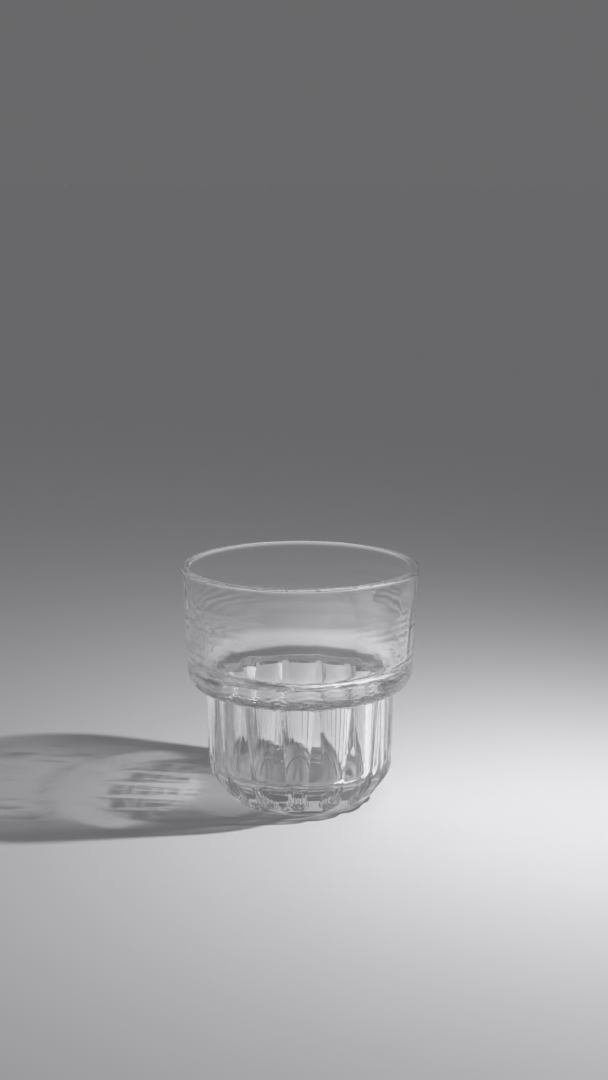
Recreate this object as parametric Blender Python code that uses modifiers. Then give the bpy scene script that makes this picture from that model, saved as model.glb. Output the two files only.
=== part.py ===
"""Rocks glass: a pressed tumbler with a wide smooth bowl on a narrower fluted body.

The whole glass is one piece. Its section is a closed outline turned about Z. A ring of flutes, which narrow
downwards and end round at the foot, is cut into the lower body. Metres, +Z up, origin at the centre of the base.
"""

import math

import bmesh
import bpy
from mathutils import Matrix, Vector

# Overall size
HEIGHT = 0.0880
RIM_RADIUS = 0.0435
LIP_THICKNESS = 0.0032
LIP_FILLET = 0.49 * LIP_THICKNESS

# Outside of the bowl and the shoulder under it
SHOULDER_RADIUS = 0.0409
SHOULDER_HEIGHT = 0.0424
SHOULDER_FILLET = 0.0064

# Lower body, heel and foot
BODY_TOP_RADIUS = 0.0349
BODY_FOOT_RADIUS = 0.0339
HEEL_HEIGHT = 0.0115
HEEL_FILLET = 0.0090
FOOT_RADIUS = 0.0255
FOOT_FILLET = 0.0030

# Recess under the base, which leaves a flat ring to stand on
BEARING_INNER_RADIUS = 0.0195
BEARING_FILLET = 0.0006
RECESS_RADIUS = 0.0165
RECESS_DEPTH = 0.0009
RECESS_FILLET = 0.0060

# Inside: bowl wall, ledge, and the narrower cavity with its nearly flat floor
BOWL_FOOT_INSIDE_RADIUS = 0.0374
LEDGE_HEIGHT = 0.0498
LEDGE_FILLET = 0.0060
MOUTH_RADIUS = 0.0304
MOUTH_FILLET = 0.0010
CAVITY_FOOT_RADIUS = 0.0290
FLOOR_HEIGHT = 0.0110
FLOOR_FILLET = 0.0040

# Flutes: hollow channels that follow the wall and the heel, from under the shoulder to a round end at the foot.
# Their sections stand closer together towards the end, by a power above 1.
FLUTE_COUNT = 16
FLUTE_START = 0.0003
FLUTE_LENGTH = 0.0415
FLUTE_TOP_WIDTH = 0.0124
FLUTE_END_WIDTH = 0.0054
FLUTE_TOP_HOLLOW_RADIUS = 0.0090
FLUTE_END_HOLLOW_RADIUS = 0.0035
FLUTE_OVERRUN = 0.0015
FLUTE_STATIONS = 12
FLUTE_CROWDING = 1.6

# Fineness of the round surfaces
TURN_STEPS = 64
FLUTE_SIDE_STEPS = 12
ARC_STEP = math.radians(18)
CREASE_ANGLE = math.radians(30)
MERGE_DISTANCE = 0.00001

GLASS_COLOUR = (0.93, 0.96, 0.96, 1.0)
GLASS_ROUGHNESS = 0.02
GLASS_IOR = 1.5


def clear_scene():
    """Remove the objects that a new file starts with."""
    for item in list(bpy.data.objects):
        bpy.data.objects.remove(item)


def new_collection(name):
    """A named collection under the scene's own."""
    collection = bpy.data.collections.new(name)
    bpy.context.scene.collection.children.link(collection)
    return collection


def glass_material():
    """Clear colourless glass."""
    material = bpy.data.materials.new("clear_glass")
    material.use_nodes = True
    shader = material.node_tree.nodes["Principled BSDF"]
    shader.inputs["Base Color"].default_value = GLASS_COLOUR
    shader.inputs["Roughness"].default_value = GLASS_ROUGHNESS
    shader.inputs["Metallic"].default_value = 0.0
    shader.inputs["IOR"].default_value = GLASS_IOR
    shader.inputs["Transmission Weight"].default_value = 1.0
    return material


def fillet_points(before, corner, after, fillet):
    """Points of the arc that rounds a corner of an outline, from the first leg to the second."""
    first_leg = (before - corner).normalized()
    second_leg = (after - corner).normalized()
    half_angle = first_leg.angle(second_leg) / 2
    centre = corner + (first_leg + second_leg).normalized() * (fillet / math.sin(half_angle))
    tangent = fillet / math.tan(half_angle)
    spoke = corner + first_leg * tangent - centre
    last_spoke = corner + second_leg * tangent - centre
    turn = -spoke.angle_signed(last_spoke)
    steps = max(1, math.ceil(abs(turn) / ARC_STEP))
    return [centre + Matrix.Rotation(turn * step / steps, 2) @ spoke for step in range(steps + 1)]


def rounded_outline(corners):
    """Points along an outline of (radius, height, fillet) corners, with each filleted corner rounded."""
    places = [Vector((radius, height)) for radius, height, _ in corners]
    points = [places[0]]
    for index in range(1, len(corners) - 1):
        fillet = corners[index][2]
        if fillet > 0:
            points += fillet_points(places[index - 1], places[index], places[index + 1], fillet)
        else:
            points.append(places[index])
    return points + [places[-1]]


def inside_corners():
    """From the middle of the floor up the cavity, over the ledge and up the bowl to the lip."""
    return [
        (0, FLOOR_HEIGHT, 0),
        (CAVITY_FOOT_RADIUS, FLOOR_HEIGHT, FLOOR_FILLET),
        (MOUTH_RADIUS, LEDGE_HEIGHT, MOUTH_FILLET),
        (BOWL_FOOT_INSIDE_RADIUS, LEDGE_HEIGHT, LEDGE_FILLET),
        (RIM_RADIUS - LIP_THICKNESS, HEIGHT, LIP_FILLET),
    ]


def bowl_corners():
    """From the lip down the outside of the bowl to its shoulder."""
    return [
        (RIM_RADIUS, HEIGHT, LIP_FILLET),
        (SHOULDER_RADIUS, SHOULDER_HEIGHT, SHOULDER_FILLET),
    ]


def body_corners():
    """From under the shoulder down the lower body and round the heel to the ring that the glass stands on."""
    return [
        (BODY_TOP_RADIUS, SHOULDER_HEIGHT, 0),
        (BODY_FOOT_RADIUS, HEEL_HEIGHT, HEEL_FILLET),
        (FOOT_RADIUS, 0, FOOT_FILLET),
        (BEARING_INNER_RADIUS, 0, BEARING_FILLET),
    ]


def recess_corners():
    """From the ring up into the recess to the middle of the underside."""
    return [
        (RECESS_RADIUS, RECESS_DEPTH, RECESS_FILLET),
        (0, RECESS_DEPTH, 0),
    ]


def turned(name, outline, collection):
    """An object made by turning an outline of (radius, height) points about Z."""
    mesh = bpy.data.meshes.new(name)
    edges = [(index, index + 1) for index in range(len(outline) - 1)]
    mesh.from_pydata([(radius, 0, height) for radius, height in outline], edges, [])
    piece = bpy.data.objects.new(name, mesh)
    collection.objects.link(piece)
    screw = piece.modifiers.new("turn", "SCREW")
    screw.axis = "Z"
    screw.steps = TURN_STEPS
    screw.render_steps = TURN_STEPS
    screw.use_merge_vertices = True
    screw.merge_threshold = MERGE_DISTANCE
    return piece


def station(points, distance):
    """The place at a distance along an outline that runs down the outside, and the outward direction there."""
    for start, end in zip(points, points[1:]):
        along = end - start
        if distance <= along.length:
            break
        distance -= along.length
    along.normalize()
    return start + along * distance, Vector((-along.y, along.x))


def blend(start, end, share):
    """The value at a share of the way from a start to an end."""
    return start + (end - start) * share


def flute_section(points, distance):
    """Centre and radius of the round hollow that cuts a flute, at a distance down the wall."""
    place, outward = station(points, distance)
    share = distance / FLUTE_LENGTH
    half_width = blend(FLUTE_TOP_WIDTH, FLUTE_END_WIDTH, share) / 2
    hollow = blend(FLUTE_TOP_HOLLOW_RADIUS, FLUTE_END_HOLLOW_RADIUS, share)
    depth = half_width**2 * (1 / hollow + 1 / place.x) / 2
    into_end = (distance - FLUTE_LENGTH) / half_width + 1
    if into_end > 0:
        depth *= 1 - into_end**2
    return place + outward * (hollow - depth), hollow


def flute_tube():
    """A tapering tube that follows the wall and the heel and leaves the glass at the foot, as a mesh."""
    wall = rounded_outline(body_corners())
    curve = bpy.data.curves.new("flute_path", "CURVE")
    curve.dimensions = "3D"
    curve.bevel_depth = 1.0
    curve.bevel_resolution = FLUTE_SIDE_STEPS
    curve.use_fill_caps = True
    spline = curve.splines.new("POLY")
    spline.points.add(FLUTE_STATIONS)
    for index, point in enumerate(spline.points):
        share_left = 1 - index / FLUTE_STATIONS
        distance = blend(FLUTE_LENGTH + FLUTE_OVERRUN, FLUTE_START, share_left**FLUTE_CROWDING)
        centre, hollow = flute_section(wall, distance)
        point.co = (centre.x, 0, centre.y, 1)
        point.radius = hollow
    path = bpy.data.objects.new("flute_path", curve)
    bpy.context.scene.collection.objects.link(path)
    finished = path.evaluated_get(bpy.context.evaluated_depsgraph_get())
    mesh = bpy.data.meshes.new_from_object(finished)
    bpy.data.objects.remove(path)
    shape = bmesh.new()
    shape.from_mesh(mesh)
    bmesh.ops.remove_doubles(shape, verts=shape.verts, dist=MERGE_DISTANCE)
    bmesh.ops.recalc_face_normals(shape, faces=shape.faces)
    shape.to_mesh(mesh)
    shape.free()
    return mesh


def add_flute_cutters(collection):
    """A ring of equal flute cutters round the lower body."""
    mesh = flute_tube()
    for index in range(FLUTE_COUNT):
        cutter = bpy.data.objects.new("flute_cutter_%02d" % (index + 1), mesh)
        cutter.rotation_euler = (0, 0, 2 * math.pi * index / FLUTE_COUNT)
        cutter.hide_render = True
        cutter.display_type = "WIRE"
        collection.objects.link(cutter)


def apply_modifiers(piece):
    """Replace a piece's mesh by its finished shape, shaded smooth up to its creases."""
    bpy.context.view_layer.update()
    finished = piece.evaluated_get(bpy.context.evaluated_depsgraph_get())
    mesh = bpy.data.meshes.new_from_object(finished)
    piece.modifiers.clear()
    piece.data = mesh
    mesh.shade_smooth()
    mesh.set_sharp_from_angle(angle=CREASE_ANGLE)


def build_tumbler():
    """The one piece of the glass: the turned section with the flutes cut out of its lower body."""
    parts = new_collection("rocks_glass")
    cutters = new_collection("flute_cutters")
    add_flute_cutters(cutters)
    section = rounded_outline(inside_corners() + bowl_corners() + body_corners() + recess_corners())
    tumbler = turned("tumbler", section, parts)
    cut = tumbler.modifiers.new("flutes", "BOOLEAN")
    cut.operation = "DIFFERENCE"
    cut.solver = "EXACT"
    cut.operand_type = "COLLECTION"
    cut.collection = cutters
    apply_modifiers(tumbler)
    tumbler.data.materials.clear()
    tumbler.data.materials.append(glass_material())


clear_scene()
build_tumbler()
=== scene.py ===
"""Rocks glass: the looks of a pressed tumbler that stands on a pale studio floor.

The glass is one fine mesh: rings along its section, with columns that follow the edges of the flutes.
Metres, +Z up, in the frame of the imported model.
"""

import math
from collections import namedtuple

import bpy
import numpy as np
from mathutils import Matrix, Vector


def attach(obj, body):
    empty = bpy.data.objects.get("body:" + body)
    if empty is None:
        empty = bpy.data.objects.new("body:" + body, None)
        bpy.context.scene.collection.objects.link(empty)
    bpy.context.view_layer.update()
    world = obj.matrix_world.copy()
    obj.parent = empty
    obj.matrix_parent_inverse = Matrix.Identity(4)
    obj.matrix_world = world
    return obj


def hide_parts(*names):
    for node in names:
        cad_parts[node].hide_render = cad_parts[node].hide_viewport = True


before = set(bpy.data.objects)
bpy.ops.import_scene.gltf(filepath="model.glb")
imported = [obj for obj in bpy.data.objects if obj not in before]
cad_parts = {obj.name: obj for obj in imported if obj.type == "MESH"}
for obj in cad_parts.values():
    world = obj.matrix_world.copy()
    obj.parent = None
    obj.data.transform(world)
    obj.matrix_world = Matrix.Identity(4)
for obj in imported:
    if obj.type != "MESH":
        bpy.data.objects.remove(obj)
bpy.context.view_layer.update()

# Overall size
HEIGHT = 0.0880
RIM_RADIUS = 0.0435
LIP_THICKNESS = 0.0032
LIP_FILLET_SHARE = 0.49
LIP_FILLET = LIP_FILLET_SHARE * LIP_THICKNESS

# Outside of the bowl and the shoulder under it
SHOULDER_RADIUS = 0.0409
SHOULDER_HEIGHT = 0.0424
SHOULDER_FILLET = 0.0064

# Lower body, heel and foot
BODY_TOP_RADIUS = 0.0349
BODY_FOOT_RADIUS = 0.0339
HEEL_HEIGHT = 0.0115
HEEL_FILLET = 0.0090
FOOT_RADIUS = 0.0255
FOOT_FILLET = 0.0030

# Recess under the base
BEARING_INNER_RADIUS = 0.0195
BEARING_FILLET = 0.0006
RECESS_RADIUS = 0.0165
RECESS_DEPTH = 0.0009
RECESS_FILLET = 0.0060

# Inside of the glass
BOWL_FOOT_INSIDE_RADIUS = 0.0374
LEDGE_HEIGHT = 0.0498
LEDGE_FILLET = 0.0060
MOUTH_RADIUS = 0.0304
MOUTH_FILLET = 0.0010
CAVITY_FOOT_RADIUS = 0.0290
FLOOR_HEIGHT = 0.0110
FLOOR_FILLET = 0.0040

# Flutes
FLUTE_COUNT = 16
FLUTE_LENGTH = 0.0415
FLUTE_TOP_WIDTH = 0.0124
FLUTE_END_WIDTH = 0.0054
FLUTE_TOP_HOLLOW_RADIUS = 0.0090
FLUTE_END_HOLLOW_RADIUS = 0.0035
FLUTE_EDGE_SOFTNESS = 0.00004
FLUTE_FADE_IN = 0.0003

# Waviness that pressing leaves: waves along the section that also turn round the glass, between two heights.
# Slow waves lie on every surface. Chill rings lie on the outside of the bowl, strongest at the two sides.
# Wrinkles lie on the outside of the shoulder, strongest at the front. Streaks run up the inside of the bowl.
Waves = namedtuple("Waves", "count height lengths most_turns low high seed")
SLOW_WAVES = Waves(24, 0.000014, (0.0050, 0.0140), 5, 0.004, 0.086, 7)
CHILL_RINGS = Waves(6, 0.000050, (0.0024, 0.0042), 2, 0.050, 0.078, 11)
SHOULDER_WRINKLES = Waves(40, 0.000100, (0.0010, 0.0022), 70, 0.040, 0.056, 5)
INNER_STREAKS = Waves(16, 0.000030, (0.0400, 0.0900), 45, 0.054, 0.085, 3)
WAVE_FADE = 0.004

# Fineness of the mesh
ARC_STEP = math.radians(7)
SHOULDER_ARC_STEP = math.radians(3)
PLAIN_STEP = 0.0015
RINGED_STEP = 0.0006
FLAT_STEP = 0.0040
FLUTE_STEP = 0.0008
FLUTE_COLUMNS = 7
RIDGE_COLUMNS = 3
CREASE_ANGLE = math.radians(40)

# Faint marks, on the glass and the floor alike: the levels of a noise between which a mark comes up
MARK_LEVELS = (0.56, 0.78)

# Glass: marks in its polish, low ripples,
# and how much lamp light passes a surface, from square on to grazing and from the base to the bowl
GLASS_COLOUR = (1.0, 1.0, 1.0, 1.0)
GLASS_IOR = 1.5
GLASS_TRANSMISSION = 1.0
GLASS_MARK_SCALE = 70.0
GLASS_ROUGHNESS = (0.0, 0.012)
RIPPLE_SCALE = 260.0
RIPPLE_HEIGHT = 0.0000015
SHADOW_FACING = (0.30, 0.80)
SHADOW_PASSES = (0.95, 0.15)
SHADOW_HEIGHTS = (0.011, 0.047)
SHADOW_HEIGHT_PASSES = (1.00, 0.84)

# Camera
CAMERA_DISTANCE = 0.700
CAMERA_HEIGHT = 0.2368
CAMERA_SIDEWAYS = 0.00135
CAMERA_TURN = math.radians(1.65)
CAMERA_TILT = math.radians(11.32)
CAMERA_LENS_MM = 65.37

# Studio floor: one plain pale board with a fine grain
BOARD_SIZE = 24.0
BOARD_COLOUR = (0.60, 0.60, 0.618, 1.0)
BOARD_MARK_SCALE = 40.0
BOARD_ROUGHNESS = (0.55, 0.65)
BOARD_GRAIN_SCALE = 900.0
BOARD_GRAIN_HEIGHT = 0.00001

# Lamp at the right
LAMP_PLACE = Vector((0.195, -0.018, 0.260))
LAMP_AIM = Vector((-0.250, 0.0, 0.0))
LAMP_SIZE = 0.012
LAMP_POWER = 1.25

# Soft cards that lie low at the right and in front. They show only as reflections in the glass.
# Each comes up from its left edge over a share of its width, and from its two ends over shares of its length.
Card = namedtuple("Card", "name place width length power fade")
CARDS = (
    Card("card_right", (0.200, -0.105, 0.003), 0.145, 0.300, 0.28, 0.9),
    Card("card_near", (0.030, -0.220, 0.003), 0.340, 0.240, 0.44, 0.9),
    Card("card_front", (0.000, -0.410, 0.003), 0.500, 0.420, 1.00, 0.3),
)
CARD_END_FADES = ((0.0, 0.45), (1.0, 0.55))

# Surroundings, by the sine of the angle of rise: dark walls, a bright band above them, dark overhead
SURROUND_LEVELS = (
    (0.33, 0.142),
    (0.38, 0.460),
    (0.52, 0.460),
    (0.64, 0.130),
)
SURROUND_TINT = (1.0, 1.0, 1.03)
LIGHT_BOUNCES = 32

Corner = namedtuple("Corner", "radius height fillet arc_step step")


def section_corners():
    """The section's corners, from the inside floor's middle, over the lip, to the underside's middle."""
    return [
        Corner(0, FLOOR_HEIGHT, 0, ARC_STEP, FLAT_STEP),
        Corner(CAVITY_FOOT_RADIUS, FLOOR_HEIGHT, FLOOR_FILLET, ARC_STEP, PLAIN_STEP),
        Corner(MOUTH_RADIUS, LEDGE_HEIGHT, MOUTH_FILLET, ARC_STEP, PLAIN_STEP),
        Corner(BOWL_FOOT_INSIDE_RADIUS, LEDGE_HEIGHT, LEDGE_FILLET, ARC_STEP, PLAIN_STEP),
        Corner(RIM_RADIUS - LIP_THICKNESS, HEIGHT, LIP_FILLET, ARC_STEP, PLAIN_STEP),
        Corner(RIM_RADIUS, HEIGHT, LIP_FILLET, ARC_STEP, RINGED_STEP),
        Corner(SHOULDER_RADIUS, SHOULDER_HEIGHT, SHOULDER_FILLET, SHOULDER_ARC_STEP, RINGED_STEP),
        Corner(BODY_TOP_RADIUS, SHOULDER_HEIGHT, 0, ARC_STEP, FLUTE_STEP),
        Corner(BODY_FOOT_RADIUS, HEEL_HEIGHT, HEEL_FILLET, ARC_STEP, FLUTE_STEP),
        Corner(FOOT_RADIUS, 0, FOOT_FILLET, ARC_STEP, FLAT_STEP),
        Corner(BEARING_INNER_RADIUS, 0, BEARING_FILLET, ARC_STEP, FLAT_STEP),
        Corner(RECESS_RADIUS, RECESS_DEPTH, RECESS_FILLET, ARC_STEP, FLAT_STEP),
        Corner(0, RECESS_DEPTH, 0, ARC_STEP, FLAT_STEP),
    ]


def fillet_points(before, corner, after, fillet, arc_step):
    """Points of the arc that rounds a corner, from the first leg to the second."""
    first_leg = (before - corner).normalized()
    second_leg = (after - corner).normalized()
    half_angle = first_leg.angle(second_leg) / 2
    centre = corner + (first_leg + second_leg).normalized() * (fillet / math.sin(half_angle))
    tangent = fillet / math.tan(half_angle)
    spoke = corner + first_leg * tangent - centre
    last_spoke = corner + second_leg * tangent - centre
    turn = -spoke.angle_signed(last_spoke)
    steps = math.ceil(abs(turn) / arc_step)
    return [centre + Matrix.Rotation(turn * step / steps, 2) @ spoke for step in range(steps + 1)]


def section_points():
    """Points along the section as (radius, height), and the number of the first one of the lower body."""
    corners = section_corners()
    places = [Vector((corner.radius, corner.height)) for corner in corners]
    points = [places[0]]
    for index in range(1, len(corners)):
        step = corners[index - 1].step
        fillet = corners[index].fillet
        stretch = [places[index]]
        if fillet > 0:
            arc_step = corners[index].arc_step
            stretch = fillet_points(places[index - 1], places[index], places[index + 1], fillet, arc_step)
        start = points[-1]
        steps = math.ceil((stretch[0] - start).length / step)
        points += [start.lerp(stretch[0], count / steps) for count in range(1, steps)]
        points += stretch
        if corners[index].radius == BODY_TOP_RADIUS:
            body_start = len(points) - 1
    return np.array([tuple(point) for point in points]), body_start


def distances_along(points):
    """The distance of each point along the section from its start."""
    steps = np.hypot(*np.diff(points, axis=0).T)
    return np.concatenate([[0], np.cumsum(steps)])


def inward_normals(points):
    """Unit vectors from the section's points into the glass."""
    along = np.gradient(points, axis=0)
    along /= np.hypot(along[:, 0], along[:, 1])[:, None]
    return np.stack([along[:, 1], -along[:, 0]], axis=1)


def flute_half_width(distance):
    """Half the width that a flute would have at a distance down the body if it had no round end."""
    share = np.clip(distance / FLUTE_LENGTH, 0, 1)
    return (FLUTE_TOP_WIDTH + (FLUTE_END_WIDTH - FLUTE_TOP_WIDTH) * share) / 2


def flute_depth(distance, radius, across):
    """How far a flute's hollow lies under the crest, at places across it."""
    if distance <= 0 or distance > FLUTE_LENGTH + FLUTE_END_WIDTH:
        return np.zeros_like(across)
    half_width = flute_half_width(distance)
    share = min(1, distance / FLUTE_LENGTH)
    hollow = FLUTE_TOP_HOLLOW_RADIUS + (FLUTE_END_HOLLOW_RADIUS - FLUTE_TOP_HOLLOW_RADIUS) * share
    curve = (1 / hollow + 1 / radius) / 2
    deepest = half_width**2 * curve
    into_end = (distance - FLUTE_LENGTH) / half_width + 1
    if into_end > 0:
        deepest *= 1 - into_end**2
    depth = deepest - across**2 * curve
    soft = np.logaddexp(0, depth / FLUTE_EDGE_SOFTNESS) * FLUTE_EDGE_SOFTNESS
    return soft * min(1, distance / FLUTE_FADE_IN)


def column_angles(radius, distance):
    """Angles of a ring's columns, dense at the flutes' edges, and their angles from the flutes' middles."""
    half_pitch = math.pi / FLUTE_COUNT
    edge = min(flute_half_width(distance) / max(radius, BODY_FOOT_RADIUS), half_pitch)
    in_flute = np.sin(np.linspace(0, math.pi / 2, FLUTE_COLUMNS + 1)) * edge
    on_ridge = edge + (1 - np.cos(np.linspace(0, math.pi / 2, RIDGE_COLUMNS + 1))) * (half_pitch - edge)
    half = np.concatenate([in_flute, on_ridge[1:]])
    one_flute = np.concatenate([-half[:0:-1], half[:-1]])
    turns = 2 * half_pitch * np.arange(FLUTE_COUNT)
    return (turns[:, None] + one_flute[None, :]).ravel(), np.tile(one_flute, FLUTE_COUNT)


def waviness(waves, distance, height, angles):
    """Depth of a set of waves round a ring, at a distance along the section and at a height."""
    inside = min(height - waves.low, waves.high - height) / WAVE_FADE
    if inside <= 0:
        return np.zeros_like(angles)
    random = np.random.default_rng(waves.seed)
    total = np.zeros_like(angles)
    for _ in range(waves.count):
        length = random.uniform(*waves.lengths)
        turns = random.integers(-waves.most_turns, waves.most_turns + 1)
        phase = random.uniform(0, 2 * math.pi)
        total += np.sin(2 * math.pi * distance / length + turns * angles + phase)
    return total * waves.height / math.sqrt(waves.count) * min(1, inside)


def ring_places():
    """Places of the mesh's points, ring by ring, without the two ends on the axis."""
    points, body_start = section_points()
    along = distances_along(points)
    inward = inward_normals(points)
    lip = points[:, 1].argmax()
    rings = []
    for index in range(1, len(points) - 1):
        radius, height = points[index]
        down_body = along[index] - along[body_start]
        angles, from_middle = column_angles(radius, down_body)
        depth = flute_depth(down_body, radius, radius * from_middle)
        depth += waviness(SLOW_WAVES, along[index], height, angles)
        if index < lip:
            depth += waviness(INNER_STREAKS, along[index], height, angles)
        if lip < index <= body_start:
            depth += waviness(CHILL_RINGS, along[index], height, angles) * np.cos(angles) ** 2
            depth += waviness(SHOULDER_WRINKLES, along[index], height, angles) * (1 - np.sin(angles)) / 2
        ring_radius = radius + inward[index, 0] * depth
        x = ring_radius * np.cos(angles)
        y = ring_radius * np.sin(angles)
        z = height + inward[index, 1] * depth
        rings.append(np.stack([x, y, z], axis=1))
    return np.array(rings)


def make_tumbler():
    """The glass as one closed smooth mesh."""
    rings = ring_places()
    ring_count, columns, _ = rings.shape
    last = ring_count * columns + 1
    places = [(0, 0, FLOOR_HEIGHT), *rings.reshape(-1, 3).tolist(), (0, 0, RECESS_DEPTH)]
    faces = []
    for column in range(columns):
        beside = (column + 1) % columns
        faces.append((0, 1 + column, 1 + beside))
        for ring in range(ring_count - 1):
            start = 1 + ring * columns
            below = start + columns
            faces.append((start + column, below + column, below + beside, start + beside))
        start = 1 + (ring_count - 1) * columns
        faces.append((start + column, last, start + beside))
    mesh = bpy.data.meshes.new("tumbler_glass")
    mesh.from_pydata(places, [], faces)
    mesh.shade_smooth()
    mesh.set_sharp_from_angle(angle=CREASE_ANGLE)
    piece = bpy.data.objects.new("tumbler_glass", mesh)
    bpy.context.scene.collection.objects.link(piece)
    return piece


def new_material(name):
    """A node material with its nodes, its links and its main shader."""
    material = bpy.data.materials.new(name)
    material.use_nodes = True
    tree = material.node_tree
    return material, tree.nodes, tree.links, tree.nodes["Principled BSDF"]


def values_between(nodes, links, value, limits, ends):
    """A value that goes straight from one end to the other as another goes from limit to limit."""
    spread = nodes.new("ShaderNodeMapRange")
    spread.inputs["From Min"].default_value, spread.inputs["From Max"].default_value = limits
    spread.inputs["To Min"].default_value, spread.inputs["To Max"].default_value = ends
    links.new(value, spread.inputs["Value"])
    return spread.outputs["Result"]


def product(nodes, links, first, second):
    """Two values multiplied."""
    node = nodes.new("ShaderNodeMath")
    node.operation = "MULTIPLY"
    links.new(first, node.inputs[0])
    links.new(second, node.inputs[1])
    return node.outputs[0]


def noise(nodes, links, place, scale):
    """A noise pattern of a scale at a place."""
    pattern = nodes.new("ShaderNodeTexNoise")
    pattern.inputs["Scale"].default_value = scale
    links.new(place, pattern.inputs["Vector"])
    return pattern.outputs["Fac"]


def add_marks(nodes, links, shader, place, scale, roughness):
    """Faint marks of a scale, by a change of roughness."""
    marks = noise(nodes, links, place, scale)
    links.new(values_between(nodes, links, marks, MARK_LEVELS, roughness), shader.inputs["Roughness"])


def add_bump(nodes, links, shader, place, scale, height):
    """Bumps of a scale and a height, too low to be seen except in highlights."""
    bump = nodes.new("ShaderNodeBump")
    bump.inputs["Distance"].default_value = height
    links.new(noise(nodes, links, place, scale), bump.inputs["Height"])
    links.new(bump.outputs["Normal"], shader.inputs["Normal"])


def let_lamps_through(nodes, links, shader, height):
    """Let lamp light pass the glass, least where it grazes and high up, so the shadow shows the flutes."""
    rays = nodes.new("ShaderNodeLightPath")
    slant = nodes.new("ShaderNodeLayerWeight")
    passes = values_between(nodes, links, slant.outputs["Facing"], SHADOW_FACING, SHADOW_PASSES)
    by_height = values_between(nodes, links, height, SHADOW_HEIGHTS, SHADOW_HEIGHT_PASSES)
    clear = nodes.new("ShaderNodeBsdfTransparent")
    either = nodes.new("ShaderNodeMixShader")
    links.new(product(nodes, links, passes, by_height), clear.inputs["Color"])
    links.new(rays.outputs["Is Shadow Ray"], either.inputs["Fac"])
    links.new(shader.outputs["BSDF"], either.inputs[1])
    links.new(clear.outputs["BSDF"], either.inputs[2])
    links.new(either.outputs["Shader"], nodes["Material Output"].inputs["Surface"])


def glass_material():
    """Clear fire-polished glass."""
    material, nodes, links, shader = new_material("clear_glass")
    shader.inputs["Base Color"].default_value = GLASS_COLOUR
    shader.inputs["IOR"].default_value = GLASS_IOR
    shader.inputs["Transmission Weight"].default_value = GLASS_TRANSMISSION
    place = nodes.new("ShaderNodeTexCoord").outputs["Object"]
    split = nodes.new("ShaderNodeSeparateXYZ")
    links.new(place, split.inputs[0])
    add_marks(nodes, links, shader, place, GLASS_MARK_SCALE, GLASS_ROUGHNESS)
    add_bump(nodes, links, shader, place, RIPPLE_SCALE, RIPPLE_HEIGHT)
    let_lamps_through(nodes, links, shader, split.outputs["Z"])
    return material


def fade_between(nodes, links, value, limits):
    """A factor that goes smoothly from 0 at the first limit of a value to 1 at the second."""
    fade = nodes.new("ShaderNodeMapRange")
    fade.interpolation_type = "SMOOTHSTEP"
    fade.inputs["From Min"].default_value, fade.inputs["From Max"].default_value = limits
    links.new(value, fade.inputs["Value"])
    return fade.outputs["Result"]


def tinted(level, tint):
    """A colour of a level with a tint."""
    return (*(level * share for share in tint), 1.0)


def colour_by(nodes, links, value, levels, tint):
    """A tinted colour whose level follows a value from 0 to 1, by (value, level) stops."""
    ramp = nodes.new("ShaderNodeValToRGB")
    stops = ramp.color_ramp.elements
    while len(stops) < len(levels):
        stops.new(1.0)
    for stop, (place, level) in zip(stops, levels):
        stop.position = place
        stop.color = tinted(level, tint)
    links.new(value, ramp.inputs["Fac"])
    return ramp.outputs["Color"]


def floor_material():
    """Plain pale matt board with a fine grain."""
    material, nodes, links, shader = new_material("studio_floor")
    shader.inputs["Base Color"].default_value = BOARD_COLOUR
    place = nodes.new("ShaderNodeTexCoord").outputs["Object"]
    add_marks(nodes, links, shader, place, BOARD_MARK_SCALE, BOARD_ROUGHNESS)
    add_bump(nodes, links, shader, place, BOARD_GRAIN_SCALE, BOARD_GRAIN_HEIGHT)
    return material


def make_floor():
    """A wide flat floor under the glass."""
    bpy.ops.mesh.primitive_plane_add(size=BOARD_SIZE)
    floor = bpy.context.object
    floor.name = "floor"
    floor.data.materials.append(floor_material())
    floor.cycles.is_caustics_receiver = True


def make_camera():
    """The camera, at the photograph's distance, height and angle."""
    camera = bpy.data.objects.new("camera", bpy.data.cameras.new("camera"))
    camera.data.lens = CAMERA_LENS_MM
    turn = Matrix.Rotation(CAMERA_TURN, 3, "Z")
    camera.location = turn @ Vector((CAMERA_SIDEWAYS, -CAMERA_DISTANCE, CAMERA_HEIGHT))
    camera.rotation_euler = (math.pi / 2 - CAMERA_TILT, 0, CAMERA_TURN)
    bpy.context.scene.collection.objects.link(camera)
    bpy.context.scene.camera = camera


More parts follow.
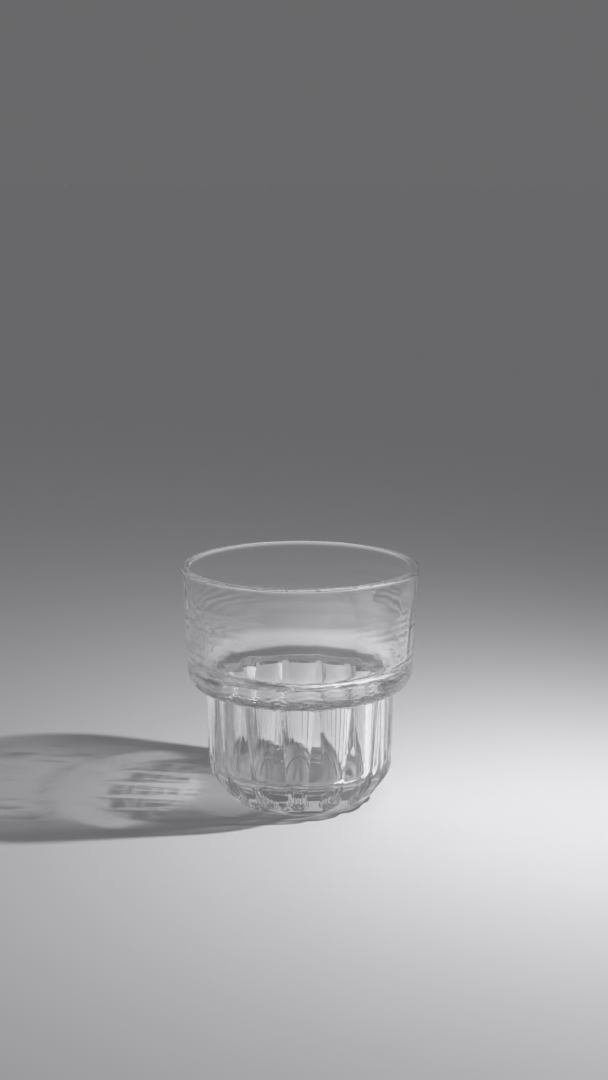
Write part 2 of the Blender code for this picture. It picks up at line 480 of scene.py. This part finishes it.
def make_lamp():
    """A small lamp at the right, which throws the shadow to the left."""
    light = bpy.data.lights.new("lamp", "AREA")
    light.shape = "DISK"
    light.size = LAMP_SIZE
    light.energy = LAMP_POWER
    light.cycles.is_caustics_light = True
    lamp = bpy.data.objects.new("lamp", light)
    lamp.location = LAMP_PLACE
    lamp.rotation_euler = (LAMP_AIM - LAMP_PLACE).to_track_quat("-Z", "Y").to_euler()
    lamp.visible_camera = False
    bpy.context.scene.collection.objects.link(lamp)


def make_card(card):
    """A soft card that faces up and fades to nothing at its left edge and at its near and far edges."""
    light = bpy.data.lights.new(card.name, "AREA")
    light.shape = "RECTANGLE"
    light.size = card.width
    light.size_y = card.length
    light.energy = card.power
    light.use_nodes = True
    nodes, links = light.node_tree.nodes, light.node_tree.links
    split = nodes.new("ShaderNodeSeparateXYZ")
    links.new(nodes.new("ShaderNodeNewGeometry").outputs["Parametric"], split.inputs[0])
    fade = fade_between(nodes, links, split.outputs["X"], (0, card.fade))
    for limits in CARD_END_FADES:
        end_fade = fade_between(nodes, links, split.outputs["Y"], limits)
        fade = product(nodes, links, fade, end_fade)
    links.new(fade, nodes["Emission"].inputs["Strength"])
    lamp = bpy.data.objects.new(card.name, light)
    lamp.location = card.place
    lamp.rotation_euler = (math.pi, 0, 0)
    lamp.visible_camera = False
    lamp.visible_transmission = False
    bpy.context.scene.collection.objects.link(lamp)


def make_world():
    """Plain soft surroundings that are the same all round and change with height."""
    world = bpy.data.worlds.new("studio")
    world.use_nodes = True
    bpy.context.scene.world = world
    nodes, links = world.node_tree.nodes, world.node_tree.links
    split = nodes.new("ShaderNodeSeparateXYZ")
    links.new(nodes.new("ShaderNodeTexCoord").outputs["Generated"], split.inputs[0])
    colour = colour_by(nodes, links, split.outputs["Z"], SURROUND_LEVELS, SURROUND_TINT)
    links.new(colour, nodes["Background"].inputs["Color"])


def allow_bounces():
    """Allow the many reflections inside the glass walls."""
    cycles = bpy.context.scene.cycles
    cycles.max_bounces = LIGHT_BOUNCES
    cycles.glossy_bounces = LIGHT_BOUNCES
    cycles.transmission_bounces = LIGHT_BOUNCES


make_camera()
tumbler = make_tumbler()
tumbler.data.materials.append(glass_material())
tumbler.cycles.is_caustics_caster = True
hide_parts("tumbler")
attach(tumbler, "root")
make_floor()
make_lamp()
for card in CARDS:
    make_card(card)
make_world()
allow_bounces()
bpy.context.scene.view_settings.view_transform = "Standard"
